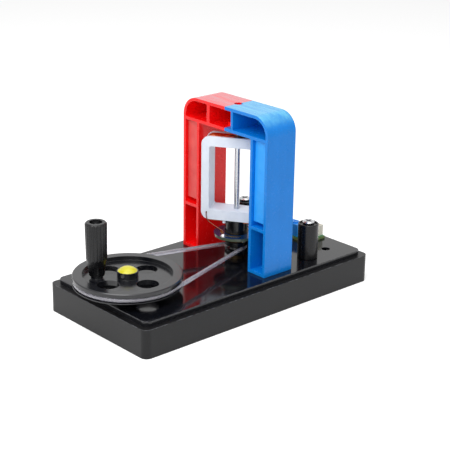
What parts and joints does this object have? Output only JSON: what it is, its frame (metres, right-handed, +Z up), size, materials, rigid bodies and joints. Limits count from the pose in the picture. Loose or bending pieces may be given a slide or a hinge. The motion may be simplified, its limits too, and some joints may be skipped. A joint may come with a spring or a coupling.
{
  "type": "electromagnetic induction apparatus",
  "caption": "Hand-cranked induction demonstrator: a belt-driven coil turns in a red and blue magnet arch on a black tray with terminal posts.",
  "frame": {"origin": "middle of the tray's underside", "axes": "+Z up, +X from the crank wheel towards the terminal posts, +Y towards the red leg"},
  "size_m": [0.1781, 0.086, 0.1113],
  "materials": {
    "tray_black": "satin moulded",
    "plate_black": "polished",
    "wheel_black": "glossy moulded",
    "grip_black": "satin moulded",
    "cap_yellow": "glossy moulded",
    "belt_clear": "translucent soft plastic",
    "shaft_steel": "ground",
    "screw_steel": "nickel plated",
    "bobbin_white": "satin moulded",
    "coil_copper": "enamelled copper",
    "contact_green": "solder mask",
    "solder": "bright solder",
    "leaf_bronze": "plated spring strip",
    "arch_red": "glossy moulded",
    "arch_blue": "glossy moulded",
    "magnet_red": "satin paint",
    "magnet_blue": "satin paint",
    "bearing_brass": "turned",
    "wire_red": "soft insulation",
    "board_green": "solder mask",
    "socket_ivory": "matt moulded",
    "trimmer_blue": "satin moulded"
  },
  "bodies": {
    "frame": {"base_shell": "tray_black", "base_plate": "plate_black", "wheel_axle": "shaft_steel", "axle_spacer": "shaft_steel", "axle_screw": "screw_steel", "drive_belt": "belt_clear", "brush_block": "wheel_black", "brush_leaves": "leaf_bronze", "arch_red": "arch_red", "arch_blue": "arch_blue", "magnet_red": "magnet_red", "magnet_blue": "magnet_blue", "upper_bearing": "bearing_brass", "lower_bearing": "bearing_brass", "plate_screws": "screw_steel", "post_front": "grip_black", "post_back": "grip_black", "post_screws": "screw_steel", "post_nuts": "screw_steel", "output_wires": "wire_red", "circuit_board": "board_green", "board_socket": "socket_ivory", "board_pins": "screw_steel", "board_trimmer": "trimmer_blue", "board_screws": "screw_steel"},
    "crank": {"crank_wheel": "wheel_black", "hub_cap": "cap_yellow", "handle_pin": "shaft_steel"},
    "grip": {"handle_grip": "grip_black"},
    "rotor": {"rotor_pulley": "wheel_black", "commutator_segments": "coil_copper", "rotor_shaft": "shaft_steel", "rotor_hub": "wheel_black", "coil_bobbin": "bobbin_white", "coil_pack": "coil_copper", "coil_winding": "coil_copper", "coil_leads": "coil_copper", "contact_board": "contact_green", "solder_joints": "solder"}
  },
  "joints": [
    {"name": "crank_spin", "type": "hinge", "parent": "frame", "child": "crank", "pos_m": [-0.0628, 0, 0.0263], "axis": [0, 0, 1], "continuous": true},
    {"name": "handle_spin", "type": "hinge", "parent": "crank", "child": "grip", "pos_m": [-0.07606, 0.00999, 0.045], "axis": [0, 0, 1], "continuous": true},
    {"name": "rotor_spin", "type": "hinge", "parent": "frame", "child": "rotor", "pos_m": [0.0171, 0, 0.06], "axis": [0, 0, 1], "continuous": true}
  ],
  "couplings": [
    {"joint": "rotor_spin", "follows": "crank_spin", "ratio": 5.434}
  ]
}
